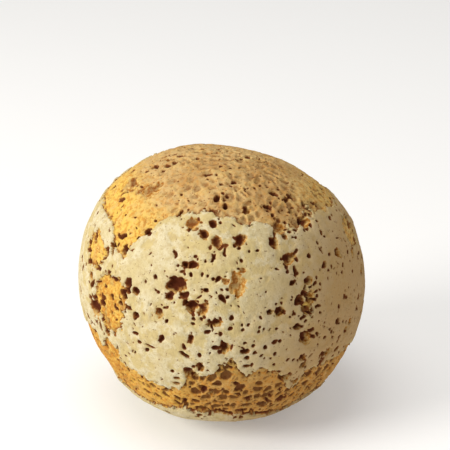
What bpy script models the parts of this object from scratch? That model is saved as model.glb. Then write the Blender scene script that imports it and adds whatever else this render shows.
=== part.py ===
"""A whole ball of long-aged mimolette, with a crust that has flaked and been eaten into pits.

Metres, +Z up. The ball stands on its small flat base at the origin, with its shown side
towards -Y. It is one solid: a turned form with full shoulders that leans a little, a crust
that ends in ragged edges around bared cheese, bowls side by side where the cheese is bare,
and pits through the crust.
"""

import bmesh
import bpy
import numpy as np

# The form without its relief
HALF_WIDTH = 0.0881
UPPER_HALF = 0.0884
LOWER_HALF = 0.0851
SHOULDER_FULLNESS = 2.30
UNDERSIDE_FULLNESS = 2.06
LEAN = np.radians(4.5)
SIDE_SHIFT = 0.0011
MIDDLE = (-0.0003, 0.0, 0.0792)
# A worn shoulder and a slight swell: degrees east and up, reach in degrees, height
SWELLS = (
    (126, 52, 54, -0.0066),
    (-106, 31, 35, 0.0008),
)
# Low down the form has a slight lip, and below that it draws in to its foot.
LIP_UP = -42
LIP_REACH = 7
LIP_HEIGHT = 0.0010
FOOT_UP = -48
FOOT_REACH = 18
FOOT_DRAWN_IN = 0.0036
LUMP_WIDTH = 0.055
LUMP_HEIGHT = 0.0016

# The crust and the bared cheese
CRUST_THICKNESS = 0.0013
CRUST_EDGE = 0.0014
EDGE_WANDER = 0.0038
EDGE_WANDER_WIDTH = 0.012
TOP_WANDERS_MORE = 0.8
BROAD_WANDER = 0.0036
BROAD_WANDER_WIDTH = 0.024
TOP_FROM = 0.60
TOP_RISE = 0.17
BOWL_WIDTH = 0.0064
BOWL_RADIUS = 0.70
BOWL_WALL = 0.40
RIDGE = 0.35
BOWL_SHIFT = 0.35
BOWL_DEPTH = 0.0020
SHALLOW_BOWLS = 0.5
WEST_BOWLS = 0.45
UP_TO_SHALLOW = (-0.1, 0.3)
WEST_TO_FRONT = (-0.65, -0.25)

# The pits
PIT_COUNT = 1150
PIT_TRIES = 2600
SMALLEST_PIT = 0.0011
WIDEST_PIT = 0.0058
PIT_SMALLNESS = 2.3
PIT_DEPTHS = (0.0012, 0.0042)
# Pits crowd along the crust's edges, this strongly and this far from them.
EDGE_PULL = 0.9
EDGE_PULL_REACH = 0.009
LEAST_SHOWN_PIT = 0.0042
PIT_RAGGEDNESS = 0.32
RAGGED_WIDTH = 0.0045
# In shares of a pit's half width: where its wall starts, the wall's own width, and how far
# out the pit can reach. The floor's edge is this share of the full depth.
PIT_RIM = 1.15
PIT_WALL = 0.55
PIT_REACH = 0.8
FLOOR_EDGE = 0.65
CROWD_WIDTH = 0.022

# The underside below this share of the ball's depth has no pits.
PRESSED_WHOLE = 0.97
WHOLE_RISE = 0.04

# The mesh
SPHERE_STEPS = 8
MOST_TRIANGLES = 11600
NOISE_SIDE = 32
SEED = 7

CHEESE_COLOUR = (0.62, 0.47, 0.27, 1.0)
CHEESE_ROUGHNESS = 0.85

# Places on the front are given as seen from this far off and this far above level: metres
# to the right of the ball's middle, and metres up from it.
VIEW_ANGLE = np.radians(25)
VIEW_DISTANCE = 1.1

# The crust's edges all round, as degrees east of the front and degrees up. It has gone
# above the cap's edge, and between the top and the foot of a belt low down.
CAP_EDGE = (
    (-180, 47), (-140, 52), (-95, 36), (-64, 37), (-56, 29), (-46, 29), (-36, 43), (-30, 50),
    (0, 50), (21, 46), (31, 40), (46, 46), (66, 42), (100, 38), (140, 48),
)
BELT_TOP = (
    (-130, -15), (-60, -10), (-37, -19), (-26, -25), (-18, -24), (-13, -14), (-3, -13),
    (4, -6), (9, -13), (23, -15), (32, -26), (37, -17), (60, -19), (120, -17),
)
BELT_FOOT = ((-120, -35), (-30, -38), (-18, -34), (-4, -39), (41, -44), (130, -35))

# Patches on the front without crust: right and up as seen, then their width and height
# over the surface, in metres.
BARE_PATCHES = {
    "left strip": (-0.071, -0.014, 0.027, 0.042),
    "left strip's foot": (-0.070, -0.044, 0.026, 0.026),
    "left shoulder": (-0.077, 0.022, 0.026, 0.019),
    "right shoulder": (0.078, 0.028, 0.021, 0.023),
    "about the right pit": (0.053, -0.012, 0.010, 0.016),
}
# Patches out of sight from the front: degrees east and up, then width and height.
BACK_PATCHES = ((150, 12, 0.040, 0.026), (-152, -2, 0.030, 0.034), (104, 14, 0.022, 0.030))

# The widest pits of the front: right and up as seen, then width, height and depth over
# the surface, in metres.
FRONT_PITS = {
    "deep": (-0.027, -0.001, 0.012, 0.009, 0.0050),
    "left twin": (-0.018, -0.014, 0.009, 0.008, 0.0050),
    "right twin": (-0.011, -0.016, 0.007, 0.008, 0.0032),
    "oval": (-0.004, -0.025, 0.010, 0.006, 0.0044),
    "shallow bowl": (0.010, -0.001, 0.009, 0.013, 0.0021),
    "over the belt": (0.002, -0.041, 0.006, 0.008, 0.0042),
    "belt's corner": (-0.021, -0.056, 0.008, 0.008, 0.0038),
    "upper slot": (-0.003, 0.024, 0.005, 0.008, 0.0028),
    "upper": (0.011, 0.025, 0.006, 0.006, 0.0034),
    "round": (-0.017, 0.036, 0.007, 0.007, 0.0024),
    "left crown": (-0.055, 0.060, 0.011, 0.010, 0.0024),
    "right crown": (-0.044, 0.057, 0.012, 0.011, 0.0022),
    "star": (-0.017, 0.011, 0.008, 0.005, 0.0036),
    "beak": (0.040, 0.015, 0.009, 0.006, 0.0034),
    "brown": (0.034, 0.033, 0.007, 0.009, 0.0026),
    "right top": (0.048, 0.036, 0.007, 0.010, 0.0034),
    "right": (0.054, -0.008, 0.009, 0.009, 0.0042),
    "black": (0.036, -0.017, 0.006, 0.006, 0.0040),
    "tall": (0.052, -0.033, 0.008, 0.011, 0.0044),
    "left edge": (-0.080, -0.016, 0.012, 0.010, 0.0040),
}
# The groove under the belt: degrees east of its two ends, then its size
GROOVE_FROM = -12
GROOVE_TO = 66
GROOVE_END = 8
GROOVE_WIDTH = 0.0017
GROOVE_BREAKS = 0.008
GROOVE_DEPTH = 0.0030


def noise(points, width, seed):
    """Smooth noise from -1 to 1, with lumps about this wide."""
    table = np.random.RandomState(seed).uniform(-1, 1, (NOISE_SIDE,) * 3)
    scaled = points / width
    cell = np.floor(scaled).astype(int)
    share = scaled - cell
    share = share * share * (3 - 2 * share)
    total = np.zeros(len(points))
    for corner in np.ndindex(2, 2, 2):
        x, y, z = ((cell + corner) % NOISE_SIDE).T
        weight = np.where(corner, share, 1 - share).prod(axis=1)
        total += table[x, y, z] * weight
    return total


def layered_noise(points, width, seed, layers):
    """Noise with finer noise on it, each layer half as wide and half as strong."""
    return sum(noise(points, width / 2**n, seed + n) / 2**n for n in range(layers))


def smooth_step(value):
    value = np.clip(value, 0, 1)
    return value * value * (3 - 2 * value)


def form_reach(directions):
    """How far the form reaches from its middle: fuller above than below, and leaning."""
    x = directions[:, 0] * np.cos(LEAN) + directions[:, 2] * np.sin(LEAN)
    z = directions[:, 2] * np.cos(LEAN) - directions[:, 0] * np.sin(LEAN)
    outwards = np.hypot(x, directions[:, 1]) / HALF_WIDTH
    above = z > 0
    fullness = np.where(above, SHOULDER_FULLNESS, UNDERSIDE_FULLNESS)
    upwards = np.abs(z) / np.where(above, UPPER_HALF, LOWER_HALF)
    reach = (outwards**fullness + upwards**fullness) ** (-1 / fullness)
    for east, up, far, height in SWELLS:
        away = np.arccos(np.clip(directions @ frame_at(east, up)[0], -1, 1)) / np.radians(far)
        reach += height * (0.5 + 0.5 * np.cos(np.pi * np.minimum(away, 1)))
    up = np.degrees(np.arcsin(np.clip(directions[:, 2], -1, 1)))
    reach += LIP_HEIGHT * np.exp(-(((up - LIP_UP) / LIP_REACH) ** 2))
    reach -= FOOT_DRAWN_IN * smooth_step((FOOT_UP - up) / FOOT_REACH)
    return reach + SIDE_SHIFT * directions[:, 0]


def frame_at(east, up):
    """The directions from the middle to a place on the ball, and eastward and up there."""
    east, up = np.radians(east), np.radians(up)
    level = np.cos(up)
    middle = np.array([np.sin(east) * level, -np.cos(east) * level, np.sin(up)])
    eastward = np.array([np.cos(east), np.sin(east), 0])
    return middle, eastward, np.cross(middle, eastward)


def shown_at(right, up):
    """Degrees east and degrees up of the place that is seen so far right and up."""
    nearer = np.array([0.0, -np.cos(VIEW_ANGLE), np.sin(VIEW_ANGLE)])
    upward = np.array([0.0, np.sin(VIEW_ANGLE), np.cos(VIEW_ANGLE)])
    eye = nearer * VIEW_DISTANCE
    ray = np.array([right, 0.0, 0.0]) + upward * up - eye
    half = (eye @ ray) / (ray @ ray)
    rest = max(half * half - (eye @ eye - HALF_WIDTH**2) / (ray @ ray), 0.0)
    place = eye + ray * (-half - np.sqrt(rest))
    place = place / np.linalg.norm(place)
    return np.degrees(np.arctan2(place[0], -place[1])), np.degrees(np.arcsin(place[2]))


def degrees_east(directions):
    return np.degrees(np.arctan2(directions[:, 0], -directions[:, 1]))


def over_edge(directions, edge):
    """How far each place lies over an edge that runs all round, in metres."""
    easts, ups = zip(*edge)
    edge_up = np.interp(degrees_east(directions), easts, ups, period=360)
    return HALF_WIDTH * (np.arcsin(np.clip(directions[:, 2], -1, 1)) - np.radians(edge_up))


def groove(directions):
    """How strongly the groove under the belt shows at each place, up to 1."""
    east = degrees_east(directions)
    ends = smooth_step((east - GROOVE_FROM) / GROOVE_END)
    ends = ends * smooth_step((GROOVE_TO - east) / GROOVE_END)
    broken = smooth_step(0.8 + 1.2 * noise(directions * HALF_WIDTH, GROOVE_BREAKS, SEED + 20))
    beside = over_edge(directions, BELT_FOOT)
    beside = beside + GROOVE_WIDTH * noise(directions * HALF_WIDTH, GROOVE_BREAKS, SEED + 21)
    return ends * broken * np.exp(-((beside / GROOVE_WIDTH) ** 2))


def inside_oval(directions, east, up, width, height):
    """How far each place lies inside an oval on the ball, and less than nothing outside."""
    middle, eastward, upward = frame_at(east, up)
    away = HALF_WIDTH * np.arccos(np.clip(directions @ middle, -1, 1))
    across, along = directions @ eastward, directions @ upward
    stretch = away / np.maximum(np.hypot(across, along), 1e-9)
    out = np.hypot(across * stretch * 2 / width, along * stretch * 2 / height)
    return (1 - out) * min(width, height) / 2


def plain_cover(directions):
    """How far a place lies inside the crust's edge, before the edge turns ragged."""
    under_cap = -over_edge(directions, CAP_EDGE)
    off_belt = np.maximum(over_edge(directions, BELT_TOP), -over_edge(directions, BELT_FOOT))
    cover = np.minimum(under_cap, off_belt)
    for right, up, *size in BARE_PATCHES.values():
        cover = np.minimum(cover, -inside_oval(directions, *shown_at(right, up), *size))
    for oval in BACK_PATCHES:
        cover = np.minimum(cover, -inside_oval(directions, *oval))
    return cover


def crust_cover(directions):
    """How far a place lies inside the crust's edge, and less than nothing on bare cheese."""
    cover = plain_cover(directions)
    places = directions * HALF_WIDTH
    top = smooth_step((directions[:, 2] - TOP_FROM) / TOP_RISE)
    cover += BROAD_WANDER * noise(places, BROAD_WANDER_WIDTH, SEED + 15)
    wander = EDGE_WANDER * (1 + TOP_WANDERS_MORE * top)
    return cover + wander * layered_noise(places, EDGE_WANDER_WIDTH, SEED, 4)


def bowls(directions):
    """Round bowls side by side: 1 well inside each, and 0 on the ridges between them."""
    places = directions * HALF_WIDTH / BOWL_WIDTH
    shift = [noise(places, 1.3, SEED + 40 + axis) for axis in range(3)]
    places = places + BOWL_SHIFT * np.stack(shift, axis=1)
    draw = np.random.RandomState(SEED + 50)
    offsets = draw.uniform(0.1, 0.9, (NOISE_SIDE,) * 3 + (3,))
    cell = np.floor(places).astype(int)
    nearest = np.full(len(places), 9.0)
    second = np.full(len(places), 9.0)
    for step in np.ndindex(3, 3, 3):
        other = cell + step - 1
        x, y, z = (other % NOISE_SIDE).T
        away = np.linalg.norm(other + offsets[x, y, z] - places, axis=1)
        second = np.minimum(second, np.maximum(nearest, away))
        nearest = np.minimum(nearest, away)
    round_part = smooth_step((BOWL_RADIUS - nearest) / BOWL_WALL)
    return round_part * smooth_step((second - nearest) / RIDGE)


def scattered_pits():
    """The smaller pits, in crowds and gaps: degrees east and up, width, height, depth."""
    draw = np.random.RandomState(SEED + 60)
    east = draw.uniform(-180, 180, PIT_TRIES)
    up = np.degrees(np.arcsin(draw.uniform(-1, 1, PIT_TRIES)))
    middles = np.array([frame_at(*place)[0] for place in zip(east, up)])
    crowd = noise(middles * HALF_WIDTH, CROWD_WIDTH, SEED + 61)
    crowd += EDGE_PULL * np.exp(-np.abs(plain_cover(middles)) / EDGE_PULL_REACH)
    kept = np.argsort(crowd + draw.uniform(-0.9, 0.9, PIT_TRIES))[-PIT_COUNT:]
    east, up = east[kept], up[kept]
    widths = SMALLEST_PIT + (WIDEST_PIT - SMALLEST_PIT) * draw.uniform(size=PIT_COUNT) ** PIT_SMALLNESS
    heights = widths * draw.uniform(0.6, 1.3, PIT_COUNT)
    depths = np.clip(widths * draw.uniform(0.6, 0.9, PIT_COUNT), *PIT_DEPTHS)
    return np.stack([east, up, widths, heights, depths], axis=1)


def dent(directions, wander, east, up, width, height, depth):
    """How deep one pit goes at each place: steep ragged walls and a rounded floor."""
    middle, eastward, upward = frame_at(east, up)
    made = np.zeros(len(directions))
    near = directions @ middle > np.cos(PIT_REACH * max(width, height) / HALF_WIDTH)
    across = directions[near] @ eastward * HALF_WIDTH * 2 / width
    along = directions[near] @ upward * HALF_WIDTH * 2 / height
    out = np.hypot(across, along) + PIT_RAGGEDNESS * wander[near]
    wall = smooth_step((PIT_RIM - out) / PIT_WALL)
    made[near] = depth * wall * (FLOOR_EDGE + (1 - FLOOR_EDGE) * np.clip(1 - out, 0, 1))
    return made


def pit_depth(directions):
    """The deepest pit at each place, of the pits that are wide enough for the mesh."""
    wander = layered_noise(directions * HALF_WIDTH, RAGGED_WIDTH, SEED + 70, 2)
    deepest = GROOVE_DEPTH * groove(directions)
    for right, up, *size in FRONT_PITS.values():
        deepest = np.maximum(deepest, dent(directions, wander, *shown_at(right, up), *size))
    for pit in scattered_pits():
        if pit[2] > LEAST_SHOWN_PIT:
            deepest = np.maximum(deepest, dent(directions, wander, *pit))
    return deepest


def surface_reach(directions):
    """How far the ball reaches from its middle, with all of its relief."""
    places = directions * HALF_WIDTH
    lumps = LUMP_HEIGHT * layered_noise(places, LUMP_WIDTH, SEED + 30, 3)
    crust = smooth_step(crust_cover(directions) / CRUST_EDGE + 0.5)
    strength = np.interp(directions[:, 2], UP_TO_SHALLOW, (1, SHALLOW_BOWLS))
    strength *= np.interp(directions[:, 0], WEST_TO_FRONT, (WEST_BOWLS, 1))
    bared = BOWL_DEPTH * strength * bowls(directions) * (1 - crust)
    reach = form_reach(directions) + lumps + CRUST_THICKNESS * (crust - 0.5)
    whole = smooth_step((directions[:, 2] + PRESSED_WHOLE) / WHOLE_RISE)
    return reach - bared - pit_depth(directions) * whole


def cheese_material():
    material = bpy.data.materials.new("Aged crust")
    material.use_nodes = True
    shader = material.node_tree.nodes["Principled BSDF"]
    shader.inputs["Base Color"].default_value = CHEESE_COLOUR
    shader.inputs["Roughness"].default_value = CHEESE_ROUGHNESS
    shader.inputs["Metallic"].default_value = 0.0
    return material


def relief_mesh():
    """A fine sphere whose points are moved out to the ball's surface."""
    shape = bmesh.new()
    bmesh.ops.create_icosphere(shape, subdivisions=SPHERE_STEPS, radius=1)
    mesh = bpy.data.meshes.new("cheese")
    shape.to_mesh(mesh)
    shape.free()
    points = np.empty(len(mesh.vertices) * 3, np.float32)
    mesh.vertices.foreach_get("co", points)
    directions = points.reshape(-1, 3).astype(float)
    directions /= np.linalg.norm(directions, axis=1)[:, None]
    points = directions * surface_reach(directions)[:, None] + MIDDLE
    mesh.vertices.foreach_set("co", points.astype(np.float32).ravel())
    mesh.update()
    return mesh


def thinned(mesh):
    """The same surface with fewer triangles: small ones on the relief, large elsewhere."""
    helper = bpy.data.objects.new("fine surface", mesh)
    bpy.context.scene.collection.objects.link(helper)
    modifier = helper.modifiers.new("Fewer triangles", "DECIMATE")
    modifier.ratio = MOST_TRIANGLES / len(mesh.polygons)
    graph = bpy.context.evaluated_depsgraph_get()
    thin = bpy.data.meshes.new_from_object(helper.evaluated_get(graph))
    bpy.data.objects.remove(helper)
    return thin


def stand_flat(mesh):
    """Cuts the underside off level, which leaves the small flat base."""
    shape = bmesh.new()
    shape.from_mesh(mesh)
    cut = bmesh.ops.bisect_plane(
        shape,
        geom=shape.verts[:] + shape.edges[:] + shape.faces[:],
        dist=1e-6,
        plane_co=(0, 0, 0),
        plane_no=(0, 0, 1),
        clear_inner=True,
    )
    rim = [part for part in cut["geom_cut"] if isinstance(part, bmesh.types.BMEdge)]
    bmesh.ops.contextual_create(shape, geom=rim)
    bmesh.ops.triangulate(shape, faces=shape.faces[:])
    bmesh.ops.recalc_face_normals(shape, faces=shape.faces[:])
    shape.to_mesh(mesh)
    shape.free()


def build_cheese():
    for old in list(bpy.data.objects):
        bpy.data.objects.remove(old)
    collection = bpy.data.collections.new("Mimolette")
    bpy.context.scene.collection.children.link(collection)
    mesh = thinned(relief_mesh())
    stand_flat(mesh)
    mesh.materials.clear()
    mesh.materials.append(cheese_material())
    mesh.shade_smooth()
    cheese = bpy.data.objects.new("cheese", mesh)
    collection.objects.link(cheese)


build_cheese()
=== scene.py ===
"""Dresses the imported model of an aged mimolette: one whole ball with its eaten crust.

The ball is a fine sphere whose points are moved out to the same form as the solid has:
lumps, a crust with ragged edges, bowls in the bared cheese, and pits. How deep a point
lies, and in what, is kept on the mesh and drives the colours.
"""

import bmesh
import bpy
import numpy as np
from mathutils import Matrix, Vector


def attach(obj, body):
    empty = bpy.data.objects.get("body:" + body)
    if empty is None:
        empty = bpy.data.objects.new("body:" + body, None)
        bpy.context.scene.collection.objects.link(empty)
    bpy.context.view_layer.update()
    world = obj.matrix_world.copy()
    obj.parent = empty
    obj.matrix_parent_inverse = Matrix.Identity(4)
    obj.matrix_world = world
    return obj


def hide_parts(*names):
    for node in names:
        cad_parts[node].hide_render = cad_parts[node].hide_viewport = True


bl_info = {
    "name": "Aged mimolette",
    "version": (1, 0, 0),
    "blender": (4, 5, 0),
    "location": "3D View > Sidebar > Cheese",
    "description": "A whole ball of long-aged mimolette with its eaten crust",
    "category": "Add Mesh",
}

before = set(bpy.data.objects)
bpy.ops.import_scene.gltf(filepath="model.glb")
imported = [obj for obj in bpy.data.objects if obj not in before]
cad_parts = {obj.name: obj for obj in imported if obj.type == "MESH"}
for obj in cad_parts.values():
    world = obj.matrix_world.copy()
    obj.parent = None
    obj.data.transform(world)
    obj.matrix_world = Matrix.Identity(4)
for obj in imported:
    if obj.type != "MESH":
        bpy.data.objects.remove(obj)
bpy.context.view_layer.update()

# The form without its relief, as the solid has it
HALF_WIDTH = 0.0881
UPPER_HALF = 0.0884
LOWER_HALF = 0.0851
SHOULDER_FULLNESS = 2.30
UNDERSIDE_FULLNESS = 2.06
LEAN = np.radians(4.5)
SIDE_SHIFT = 0.0011
MIDDLE = (-0.0003, 0.0, 0.0792)
# A worn shoulder and a slight swell: degrees east and up, reach in degrees, height
SWELLS = (
    (126, 52, 54, -0.0066),
    (-106, 31, 35, 0.0008),
)
# Low down the form has a slight lip, and below that it draws in to its foot.
LIP_UP = -42
LIP_REACH = 7
LIP_HEIGHT = 0.0010
FOOT_UP = -48
FOOT_REACH = 18
FOOT_DRAWN_IN = 0.0036
LUMP_WIDTH = 0.055
LUMP_HEIGHT = 0.0016

# The crust's ragged edge, its flakes and crumbs, and the bowls in the bared cheese
EDGE_WANDER_WIDTH = 0.012
EDGE_WANDER = 0.0038
TOP_WANDERS_MORE = 0.8
BROAD_WANDER = 0.0036
BROAD_WANDER_WIDTH = 0.024
TOP_FROM = 0.60
TOP_RISE = 0.17
FLAKE_WIDTH = 0.0036
FLAKE_STEP = 0.0030
CRUMB_WIDTH = 0.0019
CRUMB_STEP = 0.0010
SHALLOW_BOWLS = 0.5
WEST_BOWLS = 0.45
UP_TO_SHALLOW = (-0.1, 0.3)
WEST_TO_FRONT = (-0.65, -0.25)

# The pits
PIT_COUNT = 1150
PIT_TRIES = 2600
SMALLEST_PIT = 0.0011
WIDEST_PIT = 0.0058
PIT_SMALLNESS = 2.3
PIT_DEPTHS = (0.0012, 0.0042)
# Pits crowd along the crust's edges, this strongly and this far from them.
EDGE_PULL = 0.9
EDGE_PULL_REACH = 0.009
NARROW_PIT = 0.0046
PIT_RAGGEDNESS = 0.32
RAGGED_WIDTH = 0.0045
# Finer raggedness: how strong, and how wide its lumps are
FINE_RAGGEDNESS = ((0.30, 0.0019), (0.18, 0.0010))
PIT_REACH = 0.8
PIT_MARGIN = 0.002
# In shares of a pit's half width: where its wall starts, and the wall's own width. The
# floor's edge is this share of the full depth, and a wide pit's dark core is moved up and to
# the left of its middle: painted shade of its upper left wall, with the lower right left pale.
PIT_RIM = 1.15
PIT_WALL = 0.55
FLOOR_EDGE = 0.65
SHADE_OFF_MIDDLE = 0.26
CORE_REACH = 1.75
CORE_SHRINKS = 0.45
SMALL_TO_WIDE = (0.0025, 0.0060)
SHALLOW_TO_DEEP = (0.0020, 0.0036)
PALE_TO_DARK = (0.35, 1.0)
SATELLITES = 3
CROWD_WIDTH = 0.022
BOWL_RADIUS = 0.70
BOWL_WALL = 0.40
RIDGE = 0.35
BOWL_SHIFT = 0.35
PINHOLE_COUNT = 1500
PINHOLE_TRIES = 3200
PINHOLE_WIDTHS = (0.0009, 0.0027)
PINHOLE_CROWDS = 0.015
PINHOLES_EASTWARD = 0.7
PRESSED_WHOLE = 0.97
WHOLE_RISE = 0.04
NOISE_SIDE = 32
SEED = 7

# The mesh
SPHERE_STEPS = 9
MOST_TRIANGLES = 194000
FAR_FROM_PITS = -0.004

# The camera of the photograph: the ball's middle lands at this pixel of its frame.
FRAME_SIDE = 450
BALL_PIXEL = (221.5, 283.0)
PIXELS_TO_FOCUS = 1748.0
SENSOR_WIDTH = 36.0

# The lights: where each stands, and how wide it is
KEY_PLACE = (-1.30, -0.65, 0.80)
KEY_SIZE = 0.8
TOP_PLACE = (-0.25, -0.10, 1.60)
TOP_SIZE = 1.2

# Places on the front are given as seen from this far off and this far above level: metres
# to the right of the ball's middle, and metres up from it.
VIEW_ANGLE = np.radians(25)
VIEW_DISTANCE = 1.1

# The crust's edges all round, as degrees east of the front and degrees up. It has gone
# above the cap's edge, and between the top and the foot of a belt low down.
CAP_EDGE = (
    (-180, 47), (-140, 52), (-95, 36), (-64, 37), (-56, 29), (-46, 29), (-36, 43), (-30, 50),
    (0, 50), (21, 46), (31, 40), (46, 46), (66, 42), (100, 38), (140, 48),
)
BELT_TOP = (
    (-130, -15), (-60, -10), (-37, -19), (-26, -25), (-18, -24), (-13, -14), (-3, -13),
    (4, -6), (9, -13), (23, -15), (32, -26), (37, -17), (60, -19), (120, -17),
)
BELT_FOOT = ((-120, -35), (-30, -38), (-18, -34), (-4, -39), (41, -44), (130, -35))

# Patches on the front without crust: right and up as seen, then their width and height
# over the surface, in metres.
BARE_PATCHES = {
    "left strip": (-0.071, -0.014, 0.027, 0.042),
    "left strip's foot": (-0.070, -0.044, 0.026, 0.026),
    "left shoulder": (-0.077, 0.022, 0.026, 0.019),
    "right shoulder": (0.078, 0.028, 0.021, 0.023),
    "about the right pit": (0.053, -0.012, 0.010, 0.016),
}
# Patches out of sight from the front: degrees east and up, then width and height.
BACK_PATCHES = ((150, 12, 0.040, 0.026), (-152, -2, 0.030, 0.034), (104, 14, 0.022, 0.030))

# The widest pits of the front: right and up as seen, then width, height and depth over
# the surface, in metres.
FRONT_PITS = {
    "deep": (-0.027, -0.001, 0.012, 0.009, 0.0050),
    "left twin": (-0.018, -0.014, 0.009, 0.008, 0.0050),
    "right twin": (-0.011, -0.016, 0.007, 0.008, 0.0032),
    "oval": (-0.004, -0.025, 0.010, 0.006, 0.0044),
    "shallow bowl": (0.010, -0.001, 0.009, 0.013, 0.0021),
    "over the belt": (0.002, -0.041, 0.006, 0.008, 0.0042),
    "belt's corner": (-0.021, -0.056, 0.008, 0.008, 0.0038),
    "upper slot": (-0.003, 0.024, 0.005, 0.008, 0.0028),
    "upper": (0.011, 0.025, 0.006, 0.006, 0.0034),
    "round": (-0.017, 0.036, 0.007, 0.007, 0.0024),
    "left crown": (-0.055, 0.060, 0.011, 0.010, 0.0024),
    "right crown": (-0.044, 0.057, 0.012, 0.011, 0.0022),
    "star": (-0.017, 0.011, 0.008, 0.005, 0.0036),
    "beak": (0.040, 0.015, 0.009, 0.006, 0.0034),
    "brown": (0.034, 0.033, 0.007, 0.009, 0.0026),
    "right top": (0.048, 0.036, 0.007, 0.010, 0.0034),
    "right": (0.054, -0.008, 0.009, 0.009, 0.0042),
    "black": (0.036, -0.017, 0.006, 0.006, 0.0040),
    "tall": (0.052, -0.033, 0.008, 0.011, 0.0044),
    "left edge": (-0.080, -0.016, 0.012, 0.010, 0.0040),
}
# The groove under the belt: degrees east of its two ends, then its size
GROOVE_FROM = -12
GROOVE_TO = 66
GROOVE_END = 8
GROOVE_WIDTH = 0.0017
GROOVE_BREAKS = 0.008
GROOVE_DEPTH = 0.0030
GROOVE_SHOWS = 0.45
# How dark the groove is painted: partly a brown crack, partly painted shade under the belt's
# overhang.
GROOVE_BROWN_AND_SHADE = 0.9


def noise(points, width, seed):
    """Smooth noise from -1 to 1, with lumps about this wide."""
    table = np.random.RandomState(seed).uniform(-1, 1, (NOISE_SIDE,) * 3)
    scaled = points / width
    cell = np.floor(scaled).astype(int)
    share = scaled - cell
    share = share * share * (3 - 2 * share)
    total = np.zeros(len(points))
    for corner in np.ndindex(2, 2, 2):
        x, y, z = ((cell + corner) % NOISE_SIDE).T
        weight = np.where(corner, share, 1 - share).prod(axis=1)
        total += table[x, y, z] * weight
    return total


def layered_noise(points, width, seed, layers):
    """Noise with finer noise on it, each layer half as wide and half as strong."""
    return sum(noise(points, width / 2**n, seed + n) / 2**n for n in range(layers))


def smooth_step(value):
    value = np.clip(value, 0, 1)
    return value * value * (3 - 2 * value)


def form_reach(directions):
    """How far the form reaches from its middle: fuller above than below, and leaning."""
    x = directions[:, 0] * np.cos(LEAN) + directions[:, 2] * np.sin(LEAN)
    z = directions[:, 2] * np.cos(LEAN) - directions[:, 0] * np.sin(LEAN)
    outwards = np.hypot(x, directions[:, 1]) / HALF_WIDTH
    above = z > 0
    fullness = np.where(above, SHOULDER_FULLNESS, UNDERSIDE_FULLNESS)
    upwards = np.abs(z) / np.where(above, UPPER_HALF, LOWER_HALF)
    reach = (outwards**fullness + upwards**fullness) ** (-1 / fullness)
    for east, up, far, height in SWELLS:
        away = np.arccos(np.clip(directions @ frame_at(east, up)[0], -1, 1)) / np.radians(far)
        reach += height * (0.5 + 0.5 * np.cos(np.pi * np.minimum(away, 1)))
    up = np.degrees(np.arcsin(np.clip(directions[:, 2], -1, 1)))
    reach += LIP_HEIGHT * np.exp(-(((up - LIP_UP) / LIP_REACH) ** 2))
    reach -= FOOT_DRAWN_IN * smooth_step((FOOT_UP - up) / FOOT_REACH)
    return reach + SIDE_SHIFT * directions[:, 0]


def frame_at(east, up):
    """The directions from the middle to a place on the ball, and eastward and up there."""
    east, up = np.radians(east), np.radians(up)
    level = np.cos(up)
    middle = np.array([np.sin(east) * level, -np.cos(east) * level, np.sin(up)])
    eastward = np.array([np.cos(east), np.sin(east), 0])
    return middle, eastward, np.cross(middle, eastward)


def shown_at(right, up):
    """Degrees east and degrees up of the place that is seen so far right and up."""
    nearer = np.array([0.0, -np.cos(VIEW_ANGLE), np.sin(VIEW_ANGLE)])
    upward = np.array([0.0, np.sin(VIEW_ANGLE), np.cos(VIEW_ANGLE)])
    eye = nearer * VIEW_DISTANCE
    ray = np.array([right, 0.0, 0.0]) + upward * up - eye
    half = (eye @ ray) / (ray @ ray)
    rest = max(half * half - (eye @ eye - HALF_WIDTH**2) / (ray @ ray), 0.0)
    place = eye + ray * (-half - np.sqrt(rest))
    place = place / np.linalg.norm(place)
    return np.degrees(np.arctan2(place[0], -place[1])), np.degrees(np.arcsin(place[2]))


def degrees_east(directions):
    return np.degrees(np.arctan2(directions[:, 0], -directions[:, 1]))


def over_edge(directions, edge):
    """How far each place lies over an edge that runs all round, in metres."""
    easts, ups = zip(*edge)
    edge_up = np.interp(degrees_east(directions), easts, ups, period=360)
    return HALF_WIDTH * (np.arcsin(np.clip(directions[:, 2], -1, 1)) - np.radians(edge_up))


def groove(directions):
    """How strongly the groove under the belt shows at each place, up to 1."""
    east = degrees_east(directions)
    ends = smooth_step((east - GROOVE_FROM) / GROOVE_END)
    ends = ends * smooth_step((GROOVE_TO - east) / GROOVE_END)
    broken = smooth_step(0.8 + 1.2 * noise(directions * HALF_WIDTH, GROOVE_BREAKS, SEED + 20))
    beside = over_edge(directions, BELT_FOOT)
    beside = beside + GROOVE_WIDTH * noise(directions * HALF_WIDTH, GROOVE_BREAKS, SEED + 21)
    return ends * broken * np.exp(-((beside / GROOVE_WIDTH) ** 2))


def inside_oval(directions, east, up, width, height):
    """How far each place lies inside an oval on the ball, and less than nothing outside."""
    middle, eastward, upward = frame_at(east, up)
    away = HALF_WIDTH * np.arccos(np.clip(directions @ middle, -1, 1))
    across, along = directions @ eastward, directions @ upward
    stretch = away / np.maximum(np.hypot(across, along), 1e-9)
    out = np.hypot(across * stretch * 2 / width, along * stretch * 2 / height)
    return (1 - out) * min(width, height) / 2


def plain_cover(directions):
    """How far a place lies inside the crust's edge, before the edge turns ragged."""
    under_cap = -over_edge(directions, CAP_EDGE)
    off_belt = np.maximum(over_edge(directions, BELT_TOP), -over_edge(directions, BELT_FOOT))
    cover = np.minimum(under_cap, off_belt)
    for right, up, *size in BARE_PATCHES.values():
        cover = np.minimum(cover, -inside_oval(directions, *shown_at(right, up), *size))
    for oval in BACK_PATCHES:
        cover = np.minimum(cover, -inside_oval(directions, *oval))
    return cover


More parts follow.
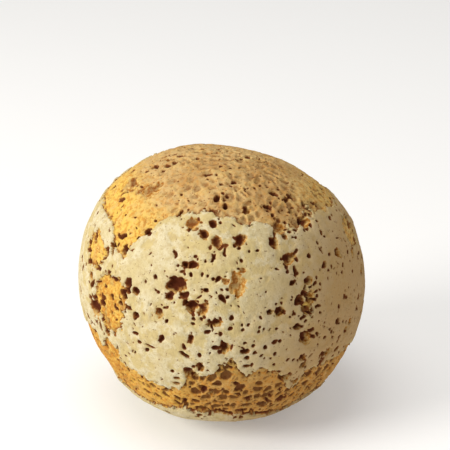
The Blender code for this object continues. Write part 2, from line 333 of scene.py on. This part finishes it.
def crust_cover(directions, wander):
    """How far a place lies inside the crust's edge, and less than nothing on bare cheese."""
    cover = plain_cover(directions)
    places = directions * HALF_WIDTH
    top = smooth_step((directions[:, 2] - TOP_FROM) / TOP_RISE)
    cover += BROAD_WANDER * noise(places, BROAD_WANDER_WIDTH, SEED + 15)
    wander = wander * (1 + TOP_WANDERS_MORE * top)
    cover += wander * layered_noise(places, EDGE_WANDER_WIDTH, SEED, 5)
    _, flake = bowls(directions, FLAKE_WIDTH, SEED + 120)
    cover += FLAKE_STEP * (flake - 0.5) + CRUMB_STEP * noise(places, CRUMB_WIDTH, SEED + 130)
    return cover + CRUMB_STEP * 0.5 * noise(places, CRUMB_WIDTH / 2, SEED + 131)


def bowls(directions, width, seed):
    """Round bowls side by side: 1 well inside and 0 on the ridges, and a number for each."""
    places = directions * HALF_WIDTH / width
    shift = [noise(places, 1.3, seed - 10 + axis) for axis in range(3)]
    places = places + BOWL_SHIFT * np.stack(shift, axis=1)
    draw = np.random.RandomState(seed)
    offsets = draw.uniform(0.1, 0.9, (NOISE_SIDE,) * 3 + (3,))
    cell = np.floor(places).astype(int)
    nearest = np.full(len(places), 9.0)
    second = np.full(len(places), 9.0)
    number = np.zeros(len(places))
    for step in np.ndindex(3, 3, 3):
        other = cell + step - 1
        x, y, z = (other % NOISE_SIDE).T
        middles = offsets[x, y, z]
        away = np.linalg.norm(other + middles - places, axis=1)
        second = np.minimum(second, np.maximum(nearest, away))
        number = np.where(away < nearest, middles[:, 0], number)
        nearest = np.minimum(nearest, away)
    round_part = smooth_step((BOWL_RADIUS - nearest) / BOWL_WALL)
    return round_part * smooth_step((second - nearest) / RIDGE), number


def scattered_pits():
    """The smaller pits, in crowds and gaps: degrees east and up, width, height, depth."""
    draw = np.random.RandomState(SEED + 60)
    east = draw.uniform(-180, 180, PIT_TRIES)
    up = np.degrees(np.arcsin(draw.uniform(-1, 1, PIT_TRIES)))
    middles = np.array([frame_at(*place)[0] for place in zip(east, up)])
    crowd = noise(middles * HALF_WIDTH, CROWD_WIDTH, SEED + 61)
    crowd += EDGE_PULL * np.exp(-np.abs(plain_cover(middles)) / EDGE_PULL_REACH)
    kept = np.argsort(crowd + draw.uniform(-0.9, 0.9, PIT_TRIES))[-PIT_COUNT:]
    east, up = east[kept], up[kept]
    sizes = draw.uniform(size=PIT_COUNT) ** PIT_SMALLNESS
    widths = SMALLEST_PIT + (WIDEST_PIT - SMALLEST_PIT) * sizes
    heights = widths * draw.uniform(0.6, 1.3, PIT_COUNT)
    depths = np.clip(widths * draw.uniform(0.6, 0.9, PIT_COUNT), *PIT_DEPTHS)
    darkness = draw.uniform(0.7, 1.0, PIT_COUNT)
    turns = np.where(widths > NARROW_PIT, 0, draw.uniform(-90, 90, PIT_COUNT))
    stretch = np.where(widths > NARROW_PIT, 1, draw.uniform(1.0, 1.7, PIT_COUNT))
    return zip(east, up, widths * stretch, heights / stretch, depths, darkness, turns)


def front_pits():
    """The widest pits of the front, in the same terms, the deeper the darker."""
    for right, up, width, height, depth in FRONT_PITS.values():
        darkness = np.interp(depth, SHALLOW_TO_DEEP, PALE_TO_DARK)
        yield *shown_at(right, up), width, height, depth, darkness, 0.0


def satellite_pits():
    """Small pits close beside the widest ones, which so run out into arms and crumbs."""
    draw = np.random.RandomState(SEED + 80)
    for east, up, width, height, depth, darkness, _ in front_pits():
        for _ in range(SATELLITES):
            way = draw.uniform(0, 2 * np.pi)
            far = draw.uniform(0.42, 0.75) * max(width, height)
            there_up = up + np.degrees(far * np.sin(way) / HALF_WIDTH)
            there_east = east + np.degrees(
                far * np.cos(way) / HALF_WIDTH / np.cos(np.radians(up))
            )
            size = draw.uniform(0.18, 0.4) * (width + height) / 2
            long = draw.uniform(1.0, 1.8)
            yield (there_east, there_up, size * long, size, min(depth, size) * 0.7,
                   darkness, draw.uniform(-90, 90))


def tiny_pits():
    """Pinholes in crowds, more of them to the right, in the same terms."""
    draw = np.random.RandomState(SEED + 140)
    east = draw.uniform(-180, 180, PINHOLE_TRIES)
    up = np.degrees(np.arcsin(draw.uniform(-0.95, 1, PINHOLE_TRIES)))
    middles = np.array([frame_at(*place)[0] for place in zip(east, up)])
    crowd = noise(middles * HALF_WIDTH, PINHOLE_CROWDS, SEED + 141)
    crowd += PINHOLES_EASTWARD * middles[:, 0]
    kept = np.argsort(crowd + draw.uniform(-0.8, 0.8, PINHOLE_TRIES))[-PINHOLE_COUNT:]
    widths = draw.uniform(*PINHOLE_WIDTHS, PINHOLE_COUNT)
    heights = widths * draw.uniform(0.6, 1.0, PINHOLE_COUNT)
    darkness = draw.uniform(0.75, 1.0, PINHOLE_COUNT)
    turns = draw.uniform(-90, 90, PINHOLE_COUNT)
    return zip(east[kept], up[kept], widths, heights, widths * 0.8, darkness, turns)


def pits(directions):
    """At each place: how deep the deepest pit goes, how far inside its edge, how dark."""
    places = directions * HALF_WIDTH
    ragged = PIT_RAGGEDNESS * layered_noise(places, RAGGED_WIDTH, SEED + 70, 3)
    for step, (strength, width) in enumerate(FINE_RAGGEDNESS):
        ragged += strength * noise(places, width, SEED + 75 + step)
    grooved = groove(directions)
    deepest = GROOVE_DEPTH * grooved
    inside = np.maximum(FAR_FROM_PITS, GROOVE_WIDTH * (grooved - GROOVE_SHOWS))
    # The groove is painted dark: partly a brown crack, partly painted shade under the belt.
    dark = np.where(grooved > GROOVE_SHOWS, GROOVE_BROWN_AND_SHADE, 0.0)
    for pit in [*front_pits(), *scattered_pits(), *satellite_pits(), *tiny_pits()]:
        east, up, width, height, depth, darkness, turn = pit
        middle, eastward, upward = frame_at(east, up)
        far = PIT_REACH * max(width, height) + PIT_MARGIN
        near = np.flatnonzero(directions @ middle > np.cos(far / HALF_WIDTH))
        if not len(near):
            continue
        turn = np.radians(turn)
        right = eastward * np.cos(turn) + upward * np.sin(turn)
        over = upward * np.cos(turn) - eastward * np.sin(turn)
        across = directions[near] @ right * HALF_WIDTH * 2 / width
        along = directions[near] @ over * HALF_WIDTH * 2 / height
        out = np.hypot(across, along) + ragged[near]
        wall = smooth_step((PIT_RIM - out) / PIT_WALL)
        made = depth * wall * (FLOOR_EDGE + (1 - FLOOR_EDGE) * np.clip(1 - out, 0, 1))
        wide = np.interp(min(width, height), SMALL_TO_WIDE, (0, 1))
        # Painted shade: in a wide pit the dark core is moved up and to the left, where its wall
        # would lie in shadow.
        shade_aside = SHADE_OFF_MIDDLE * wide
        core = CORE_REACH - CORE_SHRINKS * wide - ragged[near]
        core = core - np.hypot(across + shade_aside, along - shade_aside)
        core = np.clip(core, 0, 1) * darkness
        edge = (1.0 - out) * min(width, height) / 2
        closer = edge > inside[near]
        dark[near] = np.where(closer, core, dark[near])
        inside[near] = np.maximum(inside[near], edge)
        deepest[near] = np.maximum(deepest[near], made)
    return deepest, inside, dark


def surface(directions, rind):
    """How far the ball reaches at each place, and what the finish needs to know there."""
    places = directions * HALF_WIDTH
    lumps = LUMP_HEIGHT * layered_noise(places, LUMP_WIDTH, SEED + 30, 3)
    cover = crust_cover(directions, rind.edge_wander)
    crust = smooth_step(cover / rind.crust_edge + 0.5)
    strength = np.interp(directions[:, 2], UP_TO_SHALLOW, (1, SHALLOW_BOWLS))
    strength *= np.interp(directions[:, 0], WEST_TO_FRONT, (WEST_BOWLS, 1))
    hollow, number = bowls(directions, rind.bowl_width, SEED + 50)
    fine, _ = bowls(directions, rind.bowl_width * 0.42, SEED + 90)
    bared = (rind.bowl_depth * strength * hollow + rind.dimple_depth * fine) * (1 - crust)
    deepest, inside, dark = pits(directions)
    whole = smooth_step((directions[:, 2] + PRESSED_WHOLE) / WHOLE_RISE)
    skin_place = layered_noise(places, 0.017, SEED + 100, 5)
    skin = smooth_step((skin_place + 0.05) / 0.10)
    grain = layered_noise(places, 0.0052, SEED + 110, 3)
    reach = form_reach(directions) + lumps
    reach += rind.crust_thickness * (crust - 0.5) - bared - deepest * whole
    reach += crust * rind.skin_height * (skin - 0.5) + rind.grain_height * grain
    facts = {
        "cover": cover * 1000,
        "pit": inside * 1000,
        "dark": dark,
        "hollow": hollow * strength,
        "dimple": fine,
        "number": number,
        "skin": skin_place,
    }
    return reach, facts


class Wire:
    """An output in a material on which Python's operators add Math nodes."""

    def __init__(self, board, socket):
        self.board, self.socket = board, socket

    def math(self, operation, *values):
        sockets = dict(enumerate(values))
        return self.board.add("ShaderNodeMath", {"operation": operation}, sockets)

    def __add__(self, other):
        return self.math("ADD", self, other)

    __radd__ = __add__

    def __sub__(self, other):
        return self.math("SUBTRACT", self, other)

    def __rsub__(self, other):
        return self.math("SUBTRACT", other, self)

    def __mul__(self, other):
        return self.math("MULTIPLY", self, other)

    __rmul__ = __mul__

    def rise(self, low, high):
        """0 where this is at low or beyond, 1 at high or beyond, and smooth between."""
        sockets = {"Value": self, "From Min": low, "From Max": high}
        return self.board.add("ShaderNodeMapRange", {"interpolation_type": "SMOOTHSTEP"}, sockets)


class Board:
    """A material's nodes, each of which is added by its type, its settings and sockets."""

    def __init__(self, name):
        self.material = bpy.data.materials.new(name)
        self.material.use_nodes = True
        self.tree = self.material.node_tree
        self.tree.nodes.clear()

    def add(self, kind, settings=None, sockets=None, output=0):
        node = self.tree.nodes.new(kind)
        for name, value in (settings or {}).items():
            setattr(node, name, value)
        for key, value in (sockets or {}).items():
            if isinstance(value, Wire):
                self.tree.links.new(value.socket, node.inputs[key])
            else:
                node.inputs[key].default_value = value
        return Wire(self, node.outputs[output]) if node.outputs else None

    def fact(self, name):
        """A number that the mesh keeps for each of its points."""
        settings = {"attribute_type": "GEOMETRY", "attribute_name": name}
        return self.add("ShaderNodeAttribute", settings, output="Fac")

    def grain(self, place, width, detail=3.0, roughness=0.55):
        """Noise from 0 to 1 whose lumps are about this wide."""
        sockets = {"Vector": place, "Scale": 1 / width, "Detail": detail, "Roughness": roughness}
        return self.add("ShaderNodeTexNoise", {"noise_dimensions": "3D"}, sockets)

    def blend(self, share, below, above):
        """One colour over another, as far as the share says."""
        ends = [
            (*value, 1.0) if not isinstance(value, Wire) else value
            for value in (below, above)
        ]
        sockets = {0: share, 6: ends[0], 7: ends[1]}
        return self.add("ShaderNodeMix", {"data_type": "RGBA"}, sockets, output=2)

    def finish(self, settings):
        """The one shader, and the output that it feeds."""
        shader = self.add("ShaderNodeBsdfPrincipled", None, settings)
        self.add("ShaderNodeOutputMaterial", None, {"Surface": shader})
        return self.material


def rind_material(rind):
    """Cream crust, golden bared cheese, orange-brown bowls and dark pits."""
    board = Board("aged rind")
    place = board.add("ShaderNodeTexCoord", output="Object")
    split = board.add("ShaderNodeSeparateXYZ", None, {"Vector": place})
    east = Wire(board, split.socket.node.outputs["X"])
    height = Wire(board, split.socket.node.outputs["Z"])
    broad = board.grain(place, 0.030, 4)
    blotch = board.grain(place, 0.0070, 4, 0.6)
    mottle = board.grain(place, 0.0026, 4, 0.6)
    fine = board.grain(place, 0.0009, 3, 0.6)
    ragged = (mottle - 0.5) * 1.1 + (fine - 0.5) * 0.7

    # The crust: cream, with pale and stained places and small brown specks, and painted shade
    # that makes it darker and browner to the right and low down
    skin = board.fact("skin") + (fine - 0.5) * 0.10
    crust = board.blend(skin.rise(-0.04, 0.08), rind.stained_colour, rind.crust_colour)
    crust = board.blend(blotch.rise(0.44, 0.60) * 0.8, crust, rind.dusty_colour)
    crust = board.blend(broad.rise(0.50, 0.66) * 0.6, crust, rind.stained_colour)
    # Painted shade: the crust is painted darker and browner to the right and low down, the side
    # away from the main light.
    shaded_side = (east - height * 0.35).rise(-0.042, 0.042)
    crust = board.blend(shaded_side * 0.90, crust, rind.shaded_side_colour)
    lively = 1 - shaded_side * 0.5
    crust = board.blend(mottle.rise(0.46, 0.70) * lively * 0.6, crust, rind.shade_colour)
    crust = board.blend(fine.rise(0.48, 0.72) * lively * 0.55, crust, rind.shade_colour)
    speck = board.grain(place, 0.0016, 2, 0.5).rise(0.655, 0.72)
    crust = board.blend(speck * 0.75, crust, rind.speck_colour)
    # Close to its edge the crust is thin and stained by the cheese.
    thin = board.fact("cover").rise(5.0, 0.5) * mottle.rise(0.42, 0.60)
    crust = board.blend(thin * 0.5, crust, rind.stained_colour)

    # The bared cheese: golden to the left, tan on top, and ochre below, where it is toasted, and
    # to the right, where the ochre is painted shade
    # Partly painted shade: the ochre low down is the cheese's own toasted colour, and the ochre
    # to the right stands in for shade there.
    toasted_and_shaded = height.rise(0.105, 0.045) * east.rise(-0.050, 0.005) * 0.85
    toasted_and_shaded = toasted_and_shaded + east.rise(0.02, 0.07) * 0.45
    toasted_and_shaded = (toasted_and_shaded + (broad - 0.5) * 0.5).rise(0.05, 0.90)
    raised = height - (blotch - 0.5) * 0.030 - (broad - 0.5) * 0.030 + east * 0.45
    top = raised.rise(0.118, 0.144) * (1 - east.rise(0.035, 0.065) * 0.7)
    bared = board.blend(toasted_and_shaded, rind.golden_colour, rind.ochre_colour)
    bared = board.blend(top * 0.85, bared, rind.tan_colour)
    bared = board.blend(broad.rise(0.50, 0.60) * top * 0.5, bared, rind.pink_colour)
    bared = board.blend(blotch.rise(0.46, 0.64) * 0.6, bared, rind.ridge_colour)
    bared = board.blend(broad.rise(0.46, 0.60) * top * 0.55, bared, rind.ochre_colour)
    bared = board.blend(mottle.rise(0.46, 0.62) * (0.75 - top * 0.35), bared, rind.orange_colour)
    flank = east.rise(-0.048, -0.066) * height.rise(0.118, 0.090)
    bared = board.blend(flank * mottle.rise(0.36, 0.56) * 0.7, bared, rind.orange_colour)
    bared = board.blend(flank * blotch.rise(0.50, 0.62) * 0.4, bared, rind.bowl_colour)
    low_down = height.rise(0.075, 0.045) * 0.35
    bared = board.blend(low_down, bared, rind.orange_colour)
    hollow = board.fact("hollow") + ragged * 0.35
    each = 0.70 + board.fact("number") * 0.30
    hollow_share = hollow.rise(0.25, 0.62) * each * (1 - top * 0.35)
    bared = board.blend(hollow_share, bared, rind.bowl_colour)
    dimple = (board.fact("dimple") + ragged * 0.5).rise(0.5, 1.0) * (0.15 + toasted_and_shaded * 0.45)
    bared = board.blend(dimple, bared, rind.bowl_colour)
    pore = board.grain(place, 0.0016, 2, 0.5).rise(0.62, 0.70)
    bared = board.blend(pore * (top * 0.7 + 0.15), bared, rind.rim_colour)

    # Under the crust's edge the cheese is brown: partly its own brown line, partly painted shade
    # below the crust's step
    cover = board.fact("cover") + ragged * 0.8
    edge_brown_and_shade = cover.rise(-2.4, -0.3) * (mottle.rise(0.40, 0.56) * 0.80 + 0.15)
    bared = board.blend(edge_brown_and_shade, bared, rind.rim_colour)
    covered = cover.rise(-0.10, 0.10)
    colour = board.blend(covered, bared, crust)

    # The pits: brown at the rim and dark within; in a wide pit the dark lies up and to the left,
    # painted shade, and the lower right wall stays pale, a painted lit wall
    pit = board.fact("pit") + ragged * 0.45
    dark = board.fact("dark")
    within = pit.rise(-0.18, 0.12)
    deep = (pit - 0.7 + dark * 0.9).rise(-0.4, 1.3)
    hole = board.blend(mottle.rise(0.42, 0.60), rind.ridge_colour, rind.orange_colour)
    hole = board.blend((dark + ragged * 0.3).rise(0.10, 0.75), hole, rind.rim_colour)
    hole = board.blend(mottle.rise(0.45, 0.7) * 0.45, hole, rind.bowl_colour)
    hole = board.blend(deep * dark.rise(0.2, 0.9), hole, rind.pit_colour)
    colour = board.blend(within, colour, hole)

    rough = covered * 0.14 + 0.72
    relief = fine * 0.7 + mottle * 1.0 + blotch * 0.4
    bump_sockets = {"Strength": 0.6, "Distance": 0.0010, "Height": relief}
    bump = board.add("ShaderNodeBump", None, bump_sockets)
    return board.finish({
        "Base Color": colour,
        "Roughness": rough,
        "Specular IOR Level": 0.12,
        "Normal": bump,
    })


def floor_material(studio):
    """A plain pale floor with the faintest unevenness."""
    board = Board("pale floor")
    place = board.add("ShaderNodeTexCoord", output="Object")
    cloud = board.grain(place, 0.4, 2)
    pale = tuple(studio.floor_colour)
    colour = board.blend(cloud, pale, tuple(part * 0.985 for part in pale))
    return board.finish({
        "Base Color": colour,
        "Roughness": 0.7,
        "Specular IOR Level": 0.1,
        "Emission Color": (*pale, 1.0),
        "Emission Strength": studio.floor_glow,
    })


def directions_of(mesh, middle):
    points = np.empty(len(mesh.vertices) * 3, np.float32)
    mesh.vertices.foreach_get("co", points)
    directions = points.reshape(-1, 3).astype(float) - middle
    return directions / np.linalg.norm(directions, axis=1)[:, None]


def fine_mesh(rind):
    """A fine sphere whose points are moved out to the ball's surface."""
    shape = bmesh.new()
    bmesh.ops.create_icosphere(shape, subdivisions=SPHERE_STEPS, radius=1)
    mesh = bpy.data.meshes.new("fine ball")
    shape.to_mesh(mesh)
    shape.free()
    directions = directions_of(mesh, (0, 0, 0))
    reach, _ = surface(directions, rind)
    points = directions * reach[:, None] + MIDDLE
    mesh.vertices.foreach_set("co", points.astype(np.float32).ravel())
    mesh.update()
    return mesh


def thinned(mesh):
    """The same surface with fewer triangles: small ones on the relief, large elsewhere."""
    helper = bpy.data.objects.new("fine surface", mesh)
    bpy.context.scene.collection.objects.link(helper)
    modifier = helper.modifiers.new("Fewer triangles", "DECIMATE")
    modifier.ratio = MOST_TRIANGLES / len(mesh.polygons)
    graph = bpy.context.evaluated_depsgraph_get()
    thin = bpy.data.meshes.new_from_object(helper.evaluated_get(graph))
    bpy.data.objects.remove(helper)
    return thin


def stand_flat(mesh):
    """Cuts the underside off level, which leaves the small flat base."""
    shape = bmesh.new()
    shape.from_mesh(mesh)
    cut = bmesh.ops.bisect_plane(
        shape,
        geom=shape.verts[:] + shape.edges[:] + shape.faces[:],
        dist=1e-6,
        plane_co=(0, 0, 0),
        plane_no=(0, 0, 1),
        clear_inner=True,
    )
    rim = [part for part in cut["geom_cut"] if isinstance(part, bmesh.types.BMEdge)]
    bmesh.ops.contextual_create(shape, geom=rim)
    bmesh.ops.triangulate(shape, faces=shape.faces[:])
    bmesh.ops.recalc_face_normals(shape, faces=shape.faces[:])
    shape.to_mesh(mesh)
    shape.free()


def colour_setting(name, description, default):
    return bpy.props.FloatVectorProperty(
        name=name, description=description, default=default,
        subtype="COLOR", size=3, min=0, max=1,
    )


def length_setting(name, description, default):
    return bpy.props.FloatProperty(
        name=name, description=description, default=default,
        unit="LENGTH", subtype="DISTANCE", min=0, precision=4,
    )


class RindSettings(bpy.types.PropertyGroup):
    """Sizes and colours of the cheese"""

    crust_thickness: length_setting(
        "Crust thickness", "How proud the crust stands of the bared cheese", 0.0013)
    crust_edge: length_setting("Crust edge", "Width of the crust's broken edge", 0.0004)
    edge_wander: length_setting("Edge wander", "How far the crust's edge strays", EDGE_WANDER)
    skin_height: length_setting("Skin height", "Step where the outer skin has scaled", 0.00035)
    bowl_width: length_setting("Bowl width", "Width of a bowl in the bared cheese", 0.0064)
    bowl_depth: length_setting("Bowl depth", "Depth of a bowl in the bared cheese", 0.0020)
    dimple_depth: length_setting("Dimple depth", "Depth of the finer dimples", 0.00035)
    grain_height: length_setting("Grain height", "Unevenness all over", 0.00014)
    crust_colour: colour_setting("Crust", "Cream of the crust", (0.585, 0.495, 0.285))
    dusty_colour: colour_setting("Pale crust", "Palest crust", (0.65, 0.575, 0.385))
    stained_colour: colour_setting("Stained crust", "Yellower crust", (0.56, 0.445, 0.205))
    # Painted shade: the crust's colour on its right and lower side, away from the light.
    shaded_side_colour: colour_setting("Shaded crust", "Crust painted darker on the shaded right and lower side", (0.40, 0.235, 0.090))
    shade_colour: colour_setting("Mottled crust", "Darker mottling", (0.45, 0.335, 0.16))
    speck_colour: colour_setting("Specks", "Small brown specks", (0.16, 0.07, 0.025))
    golden_colour: colour_setting("Golden cheese", "Freshest bared cheese", (0.70, 0.46, 0.095))
    ochre_colour: colour_setting("Ochre cheese", "Toasted bared cheese", (0.42, 0.25, 0.075))
    tan_colour: colour_setting("Tan cheese", "Bared cheese on top", (0.54, 0.370, 0.175))
    pink_colour: colour_setting("Pinkish cheese", "Ruddy places on top", (0.50, 0.295, 0.145))
    ridge_colour: colour_setting("Ridges", "Pale ridges", (0.62, 0.42, 0.15))
    orange_colour: colour_setting("Orange cheese", "Orange mottling", (0.52, 0.215, 0.028))
    bowl_colour: colour_setting("Bowls", "Brown of the bowls", (0.125, 0.038, 0.009))
    rim_colour: colour_setting("Rims", "Brown under edges and in pits", (0.20, 0.060, 0.015))
    pit_colour: colour_setting("Pits", "Darkest of the pits", (0.085, 0.017, 0.0045))


class StudioSettings(bpy.types.PropertyGroup):
    """The floor, the light and the camera's lens"""

    floor_colour: colour_setting("Floor", "Colour of the plain floor", (0.76, 0.76, 0.76))
    floor_width: length_setting("Floor width", "Width of the floor", 12.0)
    floor_glow: bpy.props.FloatProperty(
        name="Floor glow", description="Light of the floor's own, as over a light table",
        default=0.30, min=0)
    key_power: bpy.props.FloatProperty(
        name="Main light", description="Power of the large soft light", default=20.0,
        unit="POWER", min=0)
    top_power: bpy.props.FloatProperty(
        name="Top light", description="Power of the light overhead", default=10.0,
        unit="POWER", min=0)
    fill_power: bpy.props.FloatProperty(
        name="Sky", description="Strength of the even light all round", default=0.50, min=0)


class MIMOLETTE_OT_ball(bpy.types.Operator):
    """Models the ball, gives it its finish and lets it stand for the solid"""

    bl_idname = "mimolette.ball"
    bl_label = "Cheese ball"

    def execute(self, context):
        rind = context.scene.mimolette_rind
        mesh = thinned(fine_mesh(rind))
        stand_flat(mesh)
        _, facts = surface(directions_of(mesh, MIDDLE), rind)
        for name, values in facts.items():
            layer = mesh.attributes.new(name, "FLOAT", "POINT")
            layer.data.foreach_set("value", values.astype(np.float32))
        mesh.materials.clear()
        mesh.materials.append(rind_material(rind))
        mesh.shade_smooth()
        mesh.name = "dressed_ball"
        ball = bpy.data.objects.new("dressed_ball", mesh)
        context.scene.collection.objects.link(ball)
        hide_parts("cheese")
        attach(ball, "root")
        return {"FINISHED"}


class MIMOLETTE_OT_studio(bpy.types.Operator):
    """Sets up the pale floor, the soft light and the camera"""

    bl_idname = "mimolette.studio"
    bl_label = "Studio"

    def execute(self, context):
        studio = context.scene.mimolette_studio
        shape = bmesh.new()
        bmesh.ops.create_grid(shape, x_segments=1, y_segments=1, size=studio.floor_width / 2)
        mesh = bpy.data.meshes.new("floor")
        shape.to_mesh(mesh)
        shape.free()
        mesh.materials.append(floor_material(studio))
        floor = bpy.data.objects.new("floor", mesh)
        context.scene.collection.objects.link(floor)

        world = bpy.data.worlds.new("studio sky")
        world.use_nodes = True
        sky = world.node_tree.nodes["Background"]
        sky.inputs["Color"].default_value = (1.0, 0.985, 0.96, 1.0)
        sky.inputs["Strength"].default_value = studio.fill_power
        context.scene.world = world
        self.light(context, "key", KEY_PLACE, KEY_SIZE, studio.key_power)
        self.light(context, "top", TOP_PLACE, TOP_SIZE, studio.top_power)
        context.scene.view_settings.view_transform = "Standard"
        self.camera(context)
        return {"FINISHED"}

    def light(self, context, name, place, size, power):
        lamp = bpy.data.lights.new(name, "AREA")
        lamp.shape = "DISK"
        lamp.size = size
        lamp.energy = power
        lamp.color = (1.0, 0.97, 0.92)
        holder = bpy.data.objects.new(name, lamp)
        aim = Vector(MIDDLE) - Vector(place)
        turn = aim.to_track_quat("-Z", "Y").to_matrix().to_4x4()
        holder.matrix_world = Matrix.Translation(place) @ turn
        context.scene.collection.objects.link(holder)

    def camera(self, context):
        """The photograph's camera: its height angle, distance, lens and aim."""
        eye = bpy.data.cameras.new("camera")
        eye.sensor_width = SENSOR_WIDTH
        eye.lens = PIXELS_TO_FOCUS / FRAME_SIDE * SENSOR_WIDTH
        eye.dof.use_dof = False
        holder = bpy.data.objects.new("camera", eye)
        back = Vector((0, -np.cos(VIEW_ANGLE), np.sin(VIEW_ANGLE)))
        raised = np.arctan((BALL_PIXEL[1] - FRAME_SIDE / 2) / PIXELS_TO_FOCUS)
        turned = np.arctan((FRAME_SIDE / 2 - BALL_PIXEL[0]) / PIXELS_TO_FOCUS)
        tilt = Matrix.Rotation(np.pi / 2 - VIEW_ANGLE + raised, 4, "X")
        place = Matrix.Translation(Vector(MIDDLE) + back * VIEW_DISTANCE)
        holder.matrix_world = place @ Matrix.Rotation(-turned, 4, "Z") @ tilt
        context.scene.collection.objects.link(holder)
        context.scene.camera = holder


class MIMOLETTE_PT_panel(bpy.types.Panel):
    bl_label = "Aged mimolette"
    bl_idname = "MIMOLETTE_PT_panel"
    bl_space_type = "VIEW_3D"
    bl_region_type = "UI"
    bl_category = "Cheese"

    def draw(self, context):
        for step in STEPS:
            self.layout.operator(step.bl_idname)
        for group in (context.scene.mimolette_rind, context.scene.mimolette_studio):
            box = self.layout.box()
            for name in group.__annotations__:
                box.prop(group, name)


STEPS = (MIMOLETTE_OT_ball, MIMOLETTE_OT_studio)
CLASSES = (RindSettings, StudioSettings, *STEPS, MIMOLETTE_PT_panel)


def register():
    for each in CLASSES:
        bpy.utils.register_class(each)
    bpy.types.Scene.mimolette_rind = bpy.props.PointerProperty(type=RindSettings)
    bpy.types.Scene.mimolette_studio = bpy.props.PointerProperty(type=StudioSettings)


def unregister():
    del bpy.types.Scene.mimolette_studio
    del bpy.types.Scene.mimolette_rind
    for each in reversed(CLASSES):
        bpy.utils.unregister_class(each)


def main():
    register()
    bpy.ops.mimolette.ball()
    bpy.ops.mimolette.studio()


if __name__ == "__main__":
    main()
